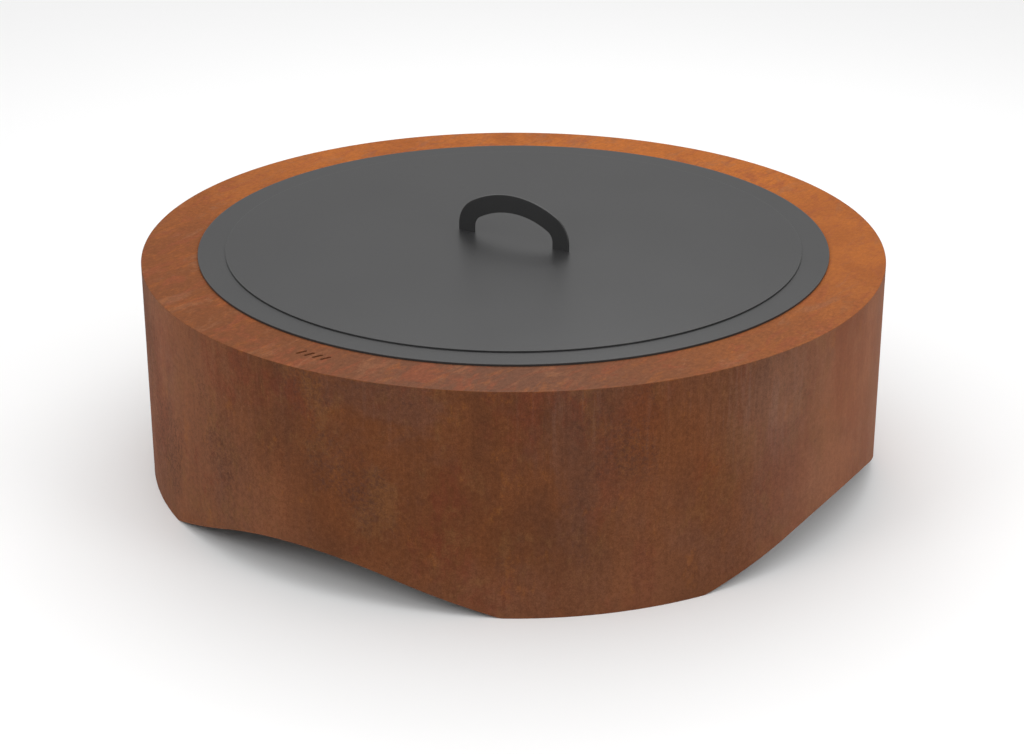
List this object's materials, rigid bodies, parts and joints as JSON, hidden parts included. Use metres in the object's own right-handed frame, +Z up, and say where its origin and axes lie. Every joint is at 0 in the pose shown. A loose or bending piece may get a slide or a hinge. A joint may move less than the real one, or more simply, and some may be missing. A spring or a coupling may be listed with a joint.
{
  "type": "fire pit with grate",
  "caption": "Low round weathering-steel fire pit with an arched foot edge, a hanging steel bowl, a loose log grate and a flat lid with an arch handle.",
  "frame": {"origin": "on the ground, on the drum's axis", "axes": "+Z up; +X along the lid's handle, through the middle of one arch; -Y is the front, where the top ring has its row of slots"},
  "size_m": [1, 1, 0.368],
  "materials": {
    "weathering_steel": "matte",
    "black_paint": "satin",
    "grate_steel": "matte"
  },
  "bodies": {
    "drum": {"skirt": "weathering_steel", "seam_strip": "weathering_steel", "top_ring": "weathering_steel", "gusset_1": "weathering_steel", "gusset_2": "weathering_steel", "gusset_3": "weathering_steel", "gusset_4": "weathering_steel", "gusset_5": "weathering_steel", "gusset_6": "weathering_steel", "gusset_7": "weathering_steel", "gusset_8": "weathering_steel"},
    "bowl": {"bowl_shell": "black_paint", "bowl_flange": "black_paint"},
    "grate": {"grate_hoop": "grate_steel", "grate_bar_1": "grate_steel", "grate_bar_2": "grate_steel", "grate_bar_3": "grate_steel", "grate_bar_4": "grate_steel", "grate_bar_5": "grate_steel", "grate_bar_6": "grate_steel", "grate_bar_7": "grate_steel", "grate_bar_8": "grate_steel", "grate_bar_9": "grate_steel", "grate_cross_bar_1": "grate_steel", "grate_cross_bar_2": "grate_steel", "grate_leg_1": "grate_steel", "grate_leg_2": "grate_steel", "grate_leg_3": "grate_steel", "grate_leg_4": "grate_steel"},
    "lid": {"lid_plate": "black_paint", "lid_hoop": "black_paint", "lid_stiffener": "black_paint", "lid_handle": "black_paint"}
  },
  "joints": [
    {"name": "bowl_lift", "type": "slide", "parent": "drum", "child": "bowl", "axis": [0, 0, 1], "range_m": [0, 0.3]},
    {"name": "grate_lift", "type": "slide", "parent": "bowl", "child": "grate", "axis": [0, 0, 1], "range_m": [0, 0.25]},
    {"name": "lid_lift", "type": "slide", "parent": "grate", "child": "lid", "axis": [0, 0, 1], "range_m": [0, 0.35]}
  ]
}
